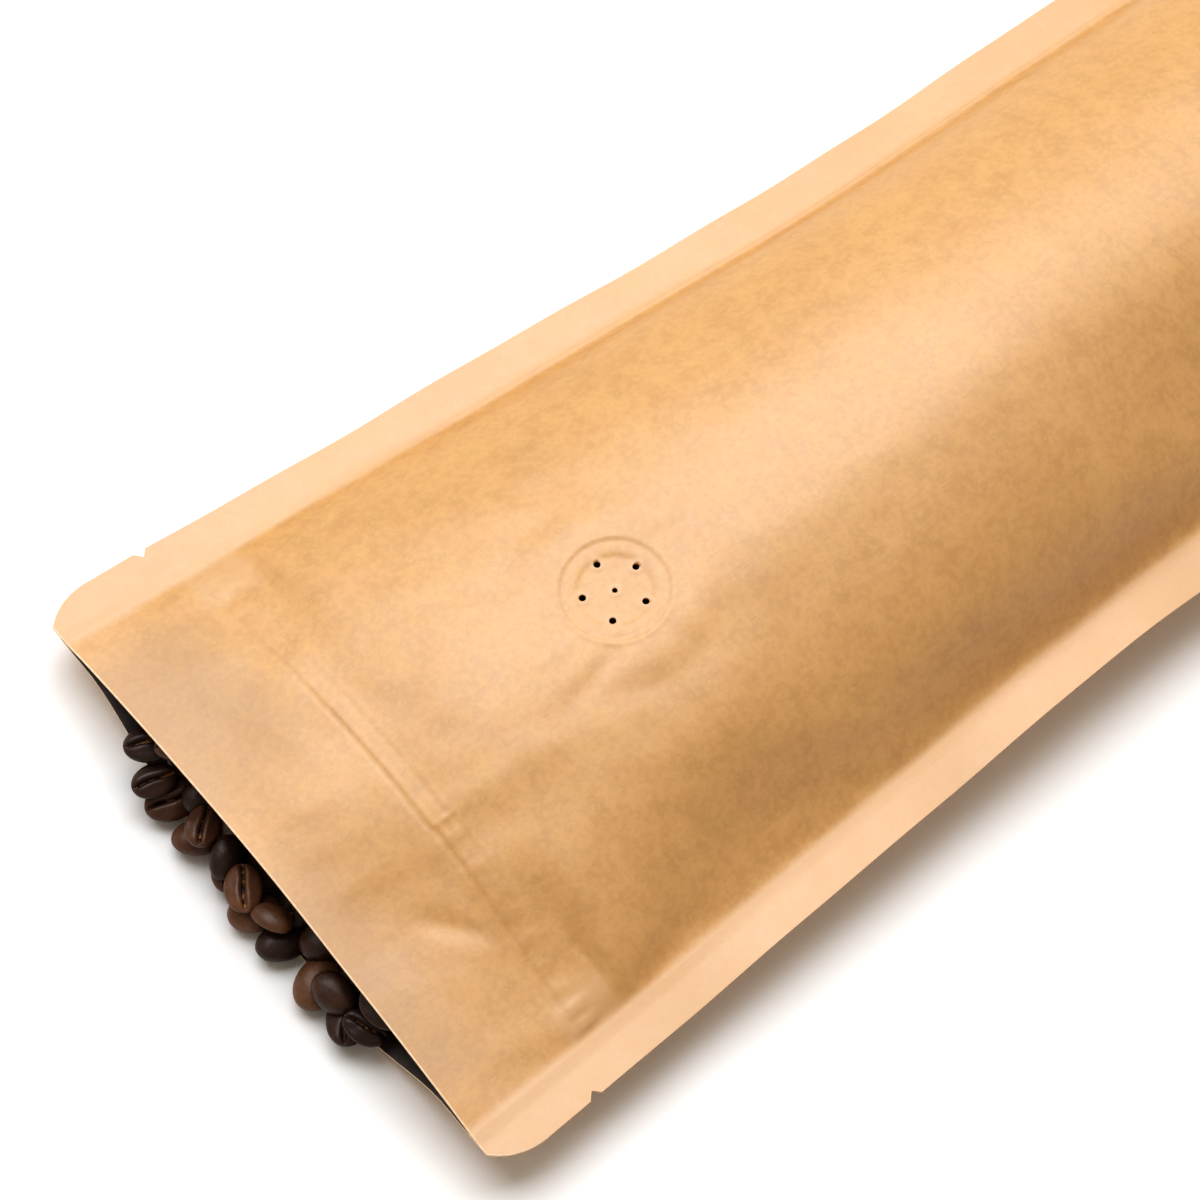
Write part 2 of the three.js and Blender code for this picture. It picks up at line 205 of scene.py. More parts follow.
def sectionAt(v):
    p = pouchSize
    station = np.maximum(v, 0)
    taper = station / p["waistStation"]
    taper = taper - p["waistEase"] * np.logaddexp(0, (taper - 1) / p["waistEase"])  # eases off at the waist
    half = mix(p["mouthHalfWidth"], p["waistHalfWidth"], taper)
    half = half + p["footFlare"] * ease(station, p["waistStation"] - p["flareLead"], p["height"])
    inner = half - p["sideSeal"]
    sealZ = mix(p["mouthSealHeight"], p["footSealHeight"], ease(station, 0, p["waistStation"]))
    lift = mix(p["lipRise"], 1, ease(station, 0, p["lipReach"]))
    angle = 2 * np.arctan(lift * np.tan(archAngle(panelHalf / inner) / 2))
    radius = inner / np.sin(angle)
    flat = inner - p["trayRun"]
    wall = math.pi / 2 * np.sqrt((p["trayRun"] ** 2 + sealZ ** 2) / 2)
    belly = ease(station, 0, p["bellyReach"])
    return dict(half=half, inner=inner, sealZ=sealZ, angle=angle, radius=radius,
                flat=flat, flatShare=flat / (flat + wall), belly=belly)


valve = dict(
    station=78, radius=10, recess=7, sink=0.55, flatReach=20,
    step=0.2, stepIn=0.45, stepOut=0.3, rim=0.12, rimAt=0.6, rimWidth=0.5,
    bead=0.08, beadAt=8.6, beadWidth=0.9, dish=0.3, dishIn=0.7, dishOut=0.6,
    burr=0.16, burrAt=0.95, burrWidth=0.35,
    holeCircle=6, holeCount=5, holeTurn=0.51, holeRadius=0.65, middleShare=0.75,
)


def crownAt(v):
    s = sectionAt(v)
    return s["sealZ"] + s["radius"] * (1 - np.cos(s["angle"]))


valveSlope = float(crownAt(valve["station"] + 1.0) - crownAt(valve["station"] - 1.0)) / 2


def pinHoles():
    turns = [valve["holeTurn"] + 2 * math.pi * i / valve["holeCount"] for i in range(valve["holeCount"])]
    ringHoles = [(valve["holeCircle"] * math.cos(a), valve["holeCircle"] * math.sin(a)) for a in turns]
    return ringHoles + [(0, 0)]


def valveRelief(u, v):
    # the film stands up round the ring, sinks inside it and drops again over the dish
    p = valve
    away = np.hypot(u, v - p["station"])
    step = -p["step"] * (1 - ease(away, p["radius"] - p["stepIn"], p["radius"] + p["stepOut"]))
    rim = p["rim"] * bell(away - p["radius"] - p["rimAt"], p["rimWidth"])
    bead = p["bead"] * bell(away - p["beadAt"], p["beadWidth"])
    dish = -p["dish"] * (1 - ease(away, p["recess"] - p["dishIn"], p["recess"] + p["dishOut"]))
    burrs = 0
    for x, y in pinHoles():
        fromHole = np.hypot(u - x, v - p["station"] - y)
        burrs = burrs + p["burr"] * bell(fromHole - p["burrAt"], p["burrWidth"])
    return step + rim + bead + dish + burrs


zipLine = dict(
    station=28.3, halfLength=53, lines=((-2.3, 0.16), (1.4, 0.05)), lineWidth=0.4,
    ridgeShare=0.7, ridgeGap=0.8, ridgeWidth=0.45, swell=0.05, swellAt=-0.4, swellWidth=1.5,
    weakShare=0.4, weakLeft=(-32, -14), weakRight=(21, 31),
    crackAt=14.0, crackStep=0.6, crackHalf=0.5, crack=0.25, crackMiddle=0.4, crackLength=1.6,
    crimp=0.32, crimpWidth=0.7, crimpLength=2.6, crimpLean=0.25, crimpGrow=(0.8, 1.7), crimpGrowAt=(36, 56),
    crimpAt=(17.5, 24.5, 31, 35, 40.5, 46, 51, 55, 58.5, -57, -52.5, -47),
)


def zipRelief(u, v):
    # two pressed lines, firm in the middle, shifted at the crack and crimped on towards the ends
    z = zipLine
    shift = ease(u, z["crackAt"] - z["crackHalf"], z["crackAt"] + z["crackHalf"])
    row = v - z["station"] - z["crackStep"] * shift
    ends = 1 - ease(np.abs(u), z["halfLength"], panelHalf - 1)
    firm = mix(1, z["weakShare"], ease(u, *z["weakRight"])) * mix(z["weakShare"], 1, ease(u, *z["weakLeft"]))
    line = z["swell"] * bell(row - z["swellAt"], z["swellWidth"])
    for at, depth in z["lines"]:
        ridge = z["ridgeShare"] * bell(row - at - z["ridgeGap"], z["ridgeWidth"])
        line = line + depth * (ridge - bell(row - at, z["lineWidth"]))
    crimp = 0
    for place, spot in enumerate(z["crimpAt"]):  # no two lean or stand up alike
        lean = z["crimpLean"] * math.sin(2.3 * place)
        grow = mix(*z["crimpGrow"], float(ease(abs(spot), *z["crimpGrowAt"])))
        size = (0.7 + 0.3 * math.cos(1.7 * place)) * grow
        fold = bell(u - spot - lean * row, z["crimpWidth"]) * bell(row - 0.5 * lean, z["crimpLength"])
        crimp = crimp + z["crimp"] * size * fold
    crack = bell(u - z["crackAt"], z["crackHalf"]) * bell(row - z["crackMiddle"], z["crackLength"])
    return ends * firm * line + crimp + z["crack"] * crack


# each dent: middle (u, v), half length, half width, turn in degrees from u, height out of the panel
dents = [
    dict(at=(-4, 12), reach=(15, 10), turn=0, height=1.0),  # flap stands level left of the middle
    dict(at=(23, 13), reach=(11, 12), turn=0, height=-1.6),  # and falls away right of it
    dict(at=(42, 12), reach=(15, 11), turn=0, height=-1.1),
    dict(at=(30, 19.5), reach=(5.5, 1.6), turn=32, height=-0.75),  # short fold in the flap
    dict(at=(29, 24), reach=(8, 3), turn=0, height=-0.4),
    dict(at=(-8, 34), reach=(38, 11), turn=0, height=-1.6),  # held flat by the zip
    dict(at=(14, 39), reach=(9, 3.2), turn=84, height=0.25),  # fold that runs on from the crack
    dict(at=(23, 42), reach=(10, 6.5), turn=80, height=-0.5),
    dict(at=(10.7, 65.5), reach=(8, 2.2), turn=102, height=-0.4),  # puckers round the valve
    dict(at=(-13, 63), reach=(7, 2), turn=50, height=-0.25),
    dict(at=(3, 63), reach=(5, 1.5), turn=95, height=0.15),
    dict(at=(-15.5, 76), reach=(5, 1.8), turn=8, height=-0.18),
    dict(at=(14.5, 82), reach=(5, 2), turn=30, height=-0.12),
    dict(at=(-3, 92.5), reach=(4.5, 1.6), turn=80, height=-0.18),
    dict(at=(49, 80), reach=(24, 10), turn=86, height=-1.2),  # hollow in the long flank
    dict(at=(29, 74), reach=(15, 10), turn=84, height=1.1),
    dict(at=(44, 96), reach=(12, 5), turn=60, height=0.5),
    dict(at=(9, 125), reach=(48, 7), turn=91, height=0.5),  # edge of the crown
    dict(at=(-33, 66), reach=(14, 5), turn=50, height=0.3),
    dict(at=(-38, 52), reach=(12, 4), turn=20, height=-0.3),
    dict(at=(33, 208), reach=(17, 28), turn=0, height=-4.6),  # panel falls in over the gusset
    dict(at=(21, 195), reach=(2.5, 1.8), turn=20, height=-0.4),  # dimple
    dict(at=(56, 108), reach=(4, 1.3), turn=12, height=0.3),  # nip beside the seal
]


def dentRelief(u, v):
    total = 0
    for dent in dents:
        turn = math.radians(dent["turn"])
        du = u - dent["at"][0]
        dv = v - dent["at"][1]
        along = du * math.cos(turn) + dv * math.sin(turn)
        over = dv * math.cos(turn) - du * math.sin(turn)
        total = total + dent["height"] * bell(along, dent["reach"][0]) * bell(over, dent["reach"][1])
    return total


shoulder = dict(rise=(24, 43), fall=46, crease=37.1, soft=(3.4, 1.1), softAt=(40, 56), top=(14, 27),
                dropLeft=1.1, dropRight=1.9)


def shoulderRelief(u, v):
    # the flattened strip round the zip ends at a crease on both sides
    s = shoulder
    side = ease(np.abs(u), *s["rise"]) * (1 - ease(np.abs(u), s["fall"], panelHalf))
    reach = mix(*s["soft"], ease(np.abs(u), *s["softAt"]))
    step = 1 - ease(v, s["crease"] - reach, s["crease"] + reach)
    return -np.where(u > 0, s["dropRight"], s["dropLeft"]) * side * ease(v, *s["top"]) * step


seam = dict(
    mouthReach=3.0, leftReach=6.5, rightReach=9.0, widensAt=(30, 120), share=0.92,
    hollowFrom=(42, 64), hollowTo=(100, 145), hollowReach=12, hollowShare=0.45, hollowEdge=0.47, edgeReach=4,
    ridge=0.12, ridgeAt=1.2, ridgeWidth=0.9, ridgeStart=0.8, ridgeFrom=(40, 80),
)


def seamDrop(u, v, angle):
    # how far the panel sinks where it leaves the side seals, with a ridge squeezed out along the left one
    s = seam
    away = panelHalf - np.abs(u)
    hollow = (u > 0) * ease(v, *s["hollowFrom"]) * (1 - ease(v, *s["hollowTo"]))  # the right flank sags wider
    reach = mix(s["mouthReach"], np.where(u < 0, s["leftReach"], s["rightReach"]), ease(v, *s["widensAt"]))
    reach = mix(reach, s["hollowReach"], hollow)
    ridge = (u < 0) * s["ridge"] * bell(away - s["ridgeAt"], s["ridgeWidth"])
    ridge = ridge * ease(away, 0, s["ridgeStart"]) * ease(v, *s["ridgeFrom"])
    sink = mix(s["share"], s["hollowShare"], hollow) * bell(away, reach)
    sink = sink + s["hollowEdge"] * hollow * bell(away, s["edgeReach"])
    return np.sin(angle) * away * sink - ridge


wrinkles = dict(
    valveCalm=(9, 22), mouthCalm=12, edgeCalm=6, crinkle=(0.055, 0.025), crinkleFade=(90, 140),
    crinkleWave=10, lump=0.14, lumpWave=36, crease=0.05, creaseWave=19,
)


def broadRelief(u, v):
    # dents and soft wrinkles of the front panel, which both its faces follow
    w = wrinkles
    away = np.hypot(u, v - valve["station"])
    calm = ease(away, *w["valveCalm"]) * ease(v, 0, w["mouthCalm"])
    crinkle = mix(*w["crinkle"], ease(v, *w["crinkleFade"]))
    lumps = crinkle * ripples(u, v, w["crinkleWave"], seed=3)
    lumps = lumps + w["lump"] * ripples(u, v, w["lumpWave"], seed=4)
    creases = -w["crease"] * np.abs(ripples(u, v, w["creaseWave"], seed=5))
    total = calm * (lumps + creases) + dentRelief(u, v) + shoulderRelief(u, v)
    return total * (1 - ease(np.abs(u), panelHalf - w["edgeCalm"], panelHalf))


def frontRelief(u, v):
    # with the lines of the zip and the valve's ring, which are pressed into the outside
    return broadRelief(u, v) + zipRelief(u, v) + valveRelief(u, v)


backWrinkles = dict(lump=0.12, lumpWave=13, crease=0.25, creaseWave=30, mouthCalm=15, edgeCalm=4)


def backRelief(u, v):
    w = backWrinkles
    lumps = w["lump"] * ripples(u, v, w["lumpWave"], seed=13)
    lumps = lumps - w["crease"] * np.abs(ripples(u, v, w["creaseWave"], seed=14))
    return lumps * ease(v, 0, w["mouthCalm"]) * (1 - ease(np.abs(u), panelHalf - w["edgeCalm"], panelHalf))


sealWave = dict(height=0.35, pace=11.0, second=0.6, secondPace=5.3, start=25)


def sealPlace(u, v, lift):
    s = sectionAt(v)
    w = sealWave
    over = (np.abs(u) - panelHalf) / pouchSize["sideSeal"]
    x = mix(s["inner"] + pouchSize["outside"], s["half"], over)
    swing = np.sin(v / w["pace"] + np.sign(u)) + w["second"] * np.sin(v / w["secondPace"] + 2 * np.sign(u))
    wave = w["height"] * over * swing * ease(v, 0, w["start"])
    return np.stack([np.sign(u) * x, v, s["sealZ"] + lift + wave], -1)


def frontPlace(u, v, out, relief=frontRelief):
    u, v = np.broadcast_arrays(np.asarray(u, float), np.asarray(v, float))
    s = sectionAt(v)
    bound = np.clip(u, -panelHalf, panelHalf)
    turn = s["angle"] * bound / panelHalf
    lift = out + relief(bound, v)
    x = (s["radius"] + lift) * np.sin(turn)
    z = s["sealZ"] + (s["radius"] + lift) * np.cos(turn) - s["radius"] * np.cos(s["angle"])
    z = z - seamDrop(bound, v, s["angle"])
    # level over the valve
    away = np.hypot(bound, v - valve["station"])
    level = 1 - ease(away, valve["radius"], valve["flatReach"])
    plane = crownAt(valve["station"]) - valve["sink"] + valveSlope * (v - valve["station"]) + lift
    panel = np.stack([mix(x, bound, level), v, mix(z, plane, level)], -1)
    side = np.abs(u) > panelHalf + hair
    return np.where(side[:, None], sealPlace(u, v, pouchSize["sealSkin"] * np.sign(out)), panel)


def backPlace(u, v, out):
    u, v = np.broadcast_arrays(np.asarray(u, float), np.asarray(v, float))
    s = sectionAt(v)
    p = pouchSize
    along = np.minimum(np.abs(u) / panelHalf, 1)
    lift = out + backRelief(np.clip(u, -panelHalf, panelHalf), v)
    floor = p["outside"] - lift
    turn = math.pi / 2 * np.maximum(along - s["flatShare"], 0) / (1 - s["flatShare"])
    deepX = s["flat"] * np.minimum(along / s["flatShare"], 1) + (p["trayRun"] + lift) * np.sin(turn)
    deepZ = s["sealZ"] - (s["sealZ"] - floor) * np.cos(turn)
    lipZ = mix(floor, s["sealZ"] - lift, ease(along, p["lipFlatShare"], p["pinchShare"]))
    x = np.sign(u) * mix(s["inner"] * along, deepX, s["belly"])
    z = np.maximum(mix(lipZ, deepZ, s["belly"]), p["outside"] - out)
    panel = np.stack([x, v, z], -1)
    side = np.abs(u) > panelHalf + hair
    return np.where(side[:, None], sealPlace(u, v, -p["sealSkin"] * np.sign(out)), panel)


def cornerCut(u, radius):
    over = np.maximum(np.abs(u) - (pouchSize["width"] / 2 - radius), 0)
    return radius - np.sqrt(np.maximum(radius ** 2 - over ** 2, 0))


def mouthRow(u):
    # the mouth is cut across after its corners are rounded, which takes the end off each round
    return np.maximum(cornerCut(u, pouchSize["mouthCorner"]) - pouchSize["mouthTrim"], 0)


def footRow(u):
    return pouchSize["height"] - cornerCut(u, pouchSize["footCorner"])


def flatRow(u, v):
    return mix(mouthRow(u), footRow(u), v / pouchSize["height"])


def ovalShare(u):
    return np.sqrt(np.maximum(1 - (u / panelHalf) ** 2, 0))


def attachRow(u):
    return gussetTop + (pouchSize["gussetDepth"] - pouchSize["bottomSeal"]) * ovalShare(u)


def creaseRow(u):
    return attachRow(u) - pouchSize["creaseDepth"] * ovalShare(u)


# places across the panels, close together over the valve and round the corners
cornerStart = math.acos(1 - pouchSize["mouthTrim"] / pouchSize["mouthCorner"])
cornerTurn = np.linspace(cornerStart, math.pi / 2, 10)
cornerColumns = pouchSize["width"] / 2 - pouchSize["mouthCorner"] * (1 - np.sin(cornerTurn))
sealColumns = np.concatenate([np.linspace(panelHalf, cornerColumns[0], 4)[1:-1], cornerColumns])
frontPanel = steps((-panelHalf, -panelHalf + 3, 0.6), (-panelHalf + 3, -14, 1.3), (-14, 16, 0.45),
                   (16, 36, 0.9), (36, panelHalf - 3, 1.1), (panelHalf - 3, panelHalf, 0.6))
backPanel = steps((panelHalf, -panelHalf, 3))
frontU = np.concatenate([-sealColumns[::-1], frontPanel, sealColumns])
backU = np.concatenate([sealColumns[::-1], backPanel, -sealColumns])
# where front and back fold together, the front takes the back's wider steps
innerBack = backPanel[1:-1]
nearest = np.abs(frontPanel[1:-1, None] - innerBack[None, :]).argmin(1)
foldU = np.concatenate([-sealColumns[::-1], [-panelHalf], innerBack[nearest], [panelHalf], sealColumns])
# rows up the lining, as shares of its length, and down the outside, close together at the zip and the valve
liningShares = steps((1, 0.3, 0.05), (0.3, 0.08, 0.012), (0.08, 0, 0.008))
outsideRows = steps((0, 0.25, 0.25), (0.25, 6, 1.0), (6, 22, 1.6), (22, 36, 0.5), (36, 64, 1.5),
                    (64, 92, 0.45), (92, pouchSize["height"], 1.7))


def liningPlace(face, u, v):
    # the lining thickens below the lip and closes up at the side seals
    p = pouchSize
    closed = 1 - ease(np.abs(u), panelHalf - p["liningClose"], panelHalf)
    out = mix(p["lining"], p["deepLining"], ease(v, *p["liningFall"])) * closed
    return face(u, v, out, broadRelief) if face is frontPlace else face(u, v, out)


def liningFold(u):
    v = creaseRow(u) - pouchSize["gussetGap"]
    return mix(liningPlace(frontPlace, u, v), liningPlace(backPlace, u, v), 0.5)


def liningRows(face, u, foldAcross):
    # inside, from the gusset's fold up to the lip
    u = np.clip(u, -panelHalf, panelHalf)
    end = attachRow(u) - pouchSize["gussetGap"]
    rows = [liningFold(np.clip(foldAcross, -panelHalf, panelHalf))]
    rows.append(mix(liningPlace(face, u, end), liningFold(u), 0.5))
    for share in liningShares:
        rows.append(liningPlace(face, u, mix(mouthRow(u), end, share)))
    return rows


def lipEdge(face, u):
    # the cut edge of the lip, which closes over the side seals
    lip = mouthRow(u)
    inside = face(np.clip(u, -panelHalf, panelHalf), lip, pouchSize["lining"])
    middle = mix(inside, face(u, lip, pouchSize["outside"]), 0.5)
    edge = sealPlace(u, lip, 0)
    tip = np.abs(np.abs(u) - panelHalf) < hair
    edge[tip] = liningPlace(frontPlace, u[tip], lip[tip])
    return np.where((np.abs(u) > panelHalf - hair)[:, None], edge, middle)


def gussetRows(face, other, u, foldAcross):
    # down the inside of the foot, along the web and in to its fold; the seals close over their edge
    p = pouchSize
    inward = -p["lining"]
    foot = footRow(u)
    edge = face(u, foot, p["outside"])
    farEdge = other(u, foot, p["outside"])
    opens = (np.abs(u) < panelHalf - p["gussetHold"])[:, None]
    rows = []
    total = p["wallRows"] + p["webRows"]
    for step in range(1, total + 1):
        if step <= p["wallRows"]:
            down = (step - 1) / (p["wallRows"] - 1)
            inner = face(u, mix(foot, attachRow(u), down), inward)
        else:
            web = (step - p["wallRows"]) / p["webRows"]
            across = foldAcross if step == total else u
            crease = creaseRow(across)
            fold = mix(frontPlace(across, crease, inward), backPlace(across, crease, inward), 0.5)
            inner = mix(face(across, attachRow(across), inward), fold, web)
            inner[:, 1] += p["webBulge"] * math.sin(math.pi * web) * ovalShare(across)
        rows.append(np.where(opens, inner, mix(edge, farEdge, 0.5 * step / total)))
    return rows


def filmSide(face, other, u, foldAcross):
    rows = liningRows(face, u, foldAcross)
    rows.append(lipEdge(face, u))
    rows.extend(face(u, flatRow(u, v), pouchSize["outside"]) for v in outsideRows)
    return np.array(rows + gussetRows(face, other, u, foldAcross))


def buildPouch():
    frontRows = filmSide(frontPlace, backPlace, frontU, foldU)
    backRows = filmSide(backPlace, frontPlace, backU, backU)
    piece, faceRow, faceCol = wrappedSheet("kraftPouch", np.concatenate([frontRows, backRows], 1))
    lipRow = len(liningShares) + 2  # the gusset's fold takes two rows
    lastSeal = len(sealColumns)
    front, back = len(frontU), len(backU)
    inSeal = (faceCol < lastSeal) | (faceCol >= front + back - lastSeal - 1)
    inSeal |= (faceCol >= front - lastSeal - 1) & (faceCol < front + lastSeal)
    # the lining is coloured dark as painted shade
    slots = np.where(faceRow < lipRow - 1, 1, 0)  # lining inside
    # cut edge coloured pale: pale fibres with a painted highlight along the lip
    slots[(faceRow >= lipRow - 1) & (faceRow <= lipRow + 1)] = 2  # cut edge, frayed pale
    piece.data.polygons.foreach_set("material_index", slots.astype(np.int32))
    # the side seals have no inside
    makeActive(piece)
    editMode()
    bpy.context.tool_settings.mesh_select_mode = (False, False, True)
    objectMode()
    piece.data.polygons.foreach_set("select", inSeal & (faceRow < lipRow))
    editMode()
    bpy.ops.mesh.delete(type="FACE")
    objectMode()
    closeSheet(piece)
    return piece


def valveMatrix():
    # stands on the front panel over the valve: x across, y down the panel, z out of it
    down = Vector((0, 1, valveSlope)).normalized()
    out = Vector((0, -valveSlope, 1)).normalized()
    turn = Matrix((Vector((1, 0, 0)), down, out)).transposed().to_4x4()
    height = float(crownAt(valve["station"])) - valve["sink"]
    spot = Vector((0, valve["station"] * mm + mouthY, height * mm))
    return Matrix.Translation(spot) @ turn


def addCutter(radius, sides, matrix):
    deselect()
    bpy.ops.mesh.primitive_cylinder_add(vertices=sides, radius=radius * mm, depth=4 * mm)
    cutter = bpy.context.object
    cutter.data.transform(matrix)
    return cutter


def cutHoles(piece):
    cutters = []
    overValve = valveMatrix()
    for x, y in pinHoles():
        radius = valve["holeRadius"] * (1 if x else valve["middleShare"])
        cutters.append(addCutter(radius, 20, overValve @ Matrix.Translation((x * mm, y * mm, 0))))
    for side in (-1, 1):  # notches, which a tool of four sides cuts as a V
        u = np.array([side * pouchSize["width"] / 2])
        edge = toMetres(sealPlace(u, np.array([pouchSize["notchStation"]]), 0))[0]
        cutters.append(addCutter(pouchSize["notchSize"], 4, Matrix.Translation(Vector(edge))))
    tool = joinPieces(cutters)
    applyModifier(piece, "BOOLEAN", operation="DIFFERENCE", solver="MANIFOLD", object=tool)
    bpy.data.objects.remove(tool)


pressed = dict(
    spillLeft=1.6, spillRight=1.8, spillWander=0.35, spillWave=26, soft=1.3, leftShare=0.75,
    zipEnds=(49, 55), zipTop=(23, 26), zipFoot=(34.5, 37), zipShare=0.8,
    tornAt=1.0, tornWidth=0.4, tornShare=0.9, tornAbove=20,
)


def pressAndSheenTone(places):
    # how pale the paper is coloured: pressed in the side seals, at the zip's ends and round the pin holes,
    # with painted sheen on the flat seals and painted light where the pale tone spills onto the panel beside
    # them
    p = pressed
    x, v, z = places.T
    s = sectionAt(v)
    # the pale tone spills past the seal edge onto the panel: painted light
    spill = np.where(x < 0, p["spillLeft"], p["spillRight"])
    spill = spill + p["spillWander"] * ripples(x, v, p["spillWave"], seed=31)
    tone = ease(np.abs(x) - s["inner"] + spill, 0, p["soft"]) * np.where(x < 0, p["leftShare"], 1)
    u = panelHalf * np.arcsin(np.clip(np.abs(x) / s["radius"], 0, 1)) / s["angle"]
    crushed = ease(u, *p["zipEnds"]) * ease(v, *p["zipTop"]) * (1 - ease(v, *p["zipFoot"])) * (z > s["sealZ"])
    tone = np.maximum(tone, p["zipShare"] * crushed)
    for holeX, holeY in pinHoles():  # torn fibres
        torn = bell(np.hypot(x - holeX, v - valve["station"] - holeY) - p["tornAt"], p["tornWidth"])
        tone = tone + p["tornShare"] * torn * (z > p["tornAbove"])
    return tone


paintedMouthShade = dict(reachLeft=20, reachRight=9, soft=6, middle=-6, middleWidth=11, sides=(46, 56))


def paintedMouthShadeTone(places):
    # painted shade: the paper is coloured a little darker near the mouth, left and right of its middle
    h = paintedMouthShade
    x, v = places.T[:2]
    reach = np.where(x < 0, h["reachLeft"], h["reachRight"])
    ends = (1 - bell(x - h["middle"], h["middleWidth"])) * (1 - ease(np.abs(x), *h["sides"]))
    return ends * (1 - ease(v, reach - h["soft"], reach + h["soft"]))


pouch = buildPouch()
print("pouch sleeve", len(pouch.data.vertices), "points")
cutHoles(pouch)
smooth(pouch, degrees=75)
flatPlaces = readPlaces(pouch) / mm - (0, mouthY / mm, 0)
addTone(pouch, "press", pressAndSheenTone(flatPlaces))
# painted shade near the mouth
addTone(pouch, "paintedMouthShade", paintedMouthShadeTone(flatPlaces))
print("pouch cut", len(pouch.data.polygons), "faces")


# zip halves on the inner faces of the panels

zipStrip = dict(band=10, tape=0.5, rib=1.5, gap=0.6, ribHalf=0.65, ribRound=0.3, ribTop=0.6, step=1.5)


def buildZip(name, face):
    z = zipStrip
    half = z["band"] / 2
    gap = z["gap"]
    tape = gap + z["tape"]
    rib = gap + z["tape"] + z["rib"]
    side = z["ribHalf"]
    top = z["ribTop"] * side
    bend = rib - z["ribRound"]
    profile = [(-half, gap), (0, gap), (half, gap), (half, tape), (side, tape), (side, bend),
               (top, rib), (-top, rib), (-side, bend), (-side, tape), (-half, tape)]
    rows = []
    for u in steps((-zipLine["halfLength"], zipLine["halfLength"], z["step"])):
        row = [face(np.array([u]), np.array([zipLine["station"] + dv]), -depth)[0] for dv, depth in profile]
        rows.append(row)
    rows = np.array(rows)
    ends = [np.repeat(rows[k].mean(0)[None], len(profile), 0) for k in (0, -1)]
    piece = wrappedSheet(name, np.concatenate([ends[:1], rows, ends[1:]]))[0]
    closeSheet(piece)
    smooth(piece, degrees=35)
    return piece


zipFront = buildZip("zipFront", lambda u, v, out: frontPlace(u, v, out, broadRelief))
zipBack = buildZip("zipBack", backPlace)


# valve under the front panel: a flange, a dish under the pin holes and a cup behind

valveBody = dict(sides=56, radius=9.5, flange=1.1, dishRim=2.6, dishDepth=0.5, wellRim=0.5, wellDepth=1.6,
                 cupRim=2.2, cupDepth=2.9, below=1.35, edge=0.15)


def buildValve():
    b = valveBody
    deselect()
    bpy.ops.mesh.primitive_cylinder_add(vertices=b["sides"], radius=b["radius"] * mm, depth=b["flange"] * mm)
    piece = bpy.context.object
    piece.name = "ventValve"
    editMode()
    bpy.context.tool_settings.mesh_select_mode = (False, False, True)

    def pickCap(up):
        bpy.ops.mesh.select_all(action="DESELECT")
        objectMode()
        caps = [f for f in piece.data.polygons if f.normal.z * up > 0.9]
        caps[int(np.argmax([f.center.z * up for f in caps]))].select = True
        editMode()

    def pushDown(rim, depth):
        bpy.ops.mesh.inset(thickness=b[rim] * mm)
        bpy.ops.mesh.extrude_region_move(TRANSFORM_OT_translate=dict(value=(0, 0, -b[depth] * mm)))

    pickCap(1)
    pushDown("dishRim", "dishDepth")
    pushDown("wellRim", "wellDepth")
    pickCap(-1)
    pushDown("cupRim", "cupDepth")
    objectMode()
    piece.data.transform(valveMatrix() @ Matrix.Translation((0, 0, -b["below"] * mm)))
    applyModifier(piece, "BEVEL", width=b["edge"] * mm, segments=2, limit_method="ANGLE")
    smooth(piece, degrees=35)
    return piece


ventValve = buildValve()
print("zip and valve made")


# the beans that show in the mouth, over a core of their own

heap = dict(
    slope=33, toe=2, pitch=8.8, rows=5, rowStep=6, firstRow=-1.5, seed=7, shapeSeed=21,
    jitter=0.3, tilt=0.5, smallest=0.9, sizeSpread=0.2, beanSize=(10.4, 7.6, 5.6),
    gap=0.6, zipBand=10, zipKeep=2.4, mouthGap=0.4, floorGap=0.1,
)


def plainFront(u, v, out):
    return frontPlace(u, v, out, lambda across, down: 0 * across)


def heightAt(face, x, y):
    # height of a panel over a place in the frame, by halving the way across
    low = np.zeros_like(x)
    high = np.full_like(x, panelHalf)
    for _ in range(16):
        middle = (low + high) / 2
        short = face(middle, y, 0.0)[:, 0] < np.abs(x)
        low = np.where(short, middle, low)
        high = np.where(short, high, middle)
    return face(low, y, 0.0)[:, 2]


roomSize = (66, 50)
roomX, roomY = np.meshgrid(np.arange(roomSize[0]), np.arange(roomSize[1]), indexing="ij")
roomLow = heightAt(backPlace, roomX.ravel() * 1.0, roomY.ravel() * 1.0).reshape(roomSize)
roomHigh = heightAt(plainFront, roomX.ravel() * 1.0, roomY.ravel() * 1.0).reshape(roomSize)


def roomAt(heights, x, y):
    # read between the four nearest places of the measured room
    x = np.clip(np.abs(x), 0, roomSize[0] - 1.01)
    y = np.clip(y, 0, roomSize[1] - 1.01)
    i, j = x.astype(int), y.astype(int)
    near = mix(heights[i, j], heights[i + 1, j], x - i)
    far = mix(heights[i, j + 1], heights[i + 1, j + 1], x - i)
    return mix(near, far, y - j)


def fitsInside(places):
    h = heap
    x, y, z = places.T
    outside = y < -h["mouthGap"]
    near = np.abs(y - zipLine["station"]) < h["zipBand"] / 2 + 1
    keep = h["gap"] + np.where(near, h["zipKeep"], 0)
    low = np.where(outside, h["floorGap"], roomAt(roomLow, x, y) + keep)
    high = np.where(outside, np.inf, roomAt(roomHigh, x, y) - keep)
    return bool(np.all((z > low) & (z < high)))


def drawer(seed):
    # the draws that laid the solid heap, so that its beans lie in the same places
    state = seed
    while True:
        state = (state * 16807) % 2147483647
        yield state / 2147483647


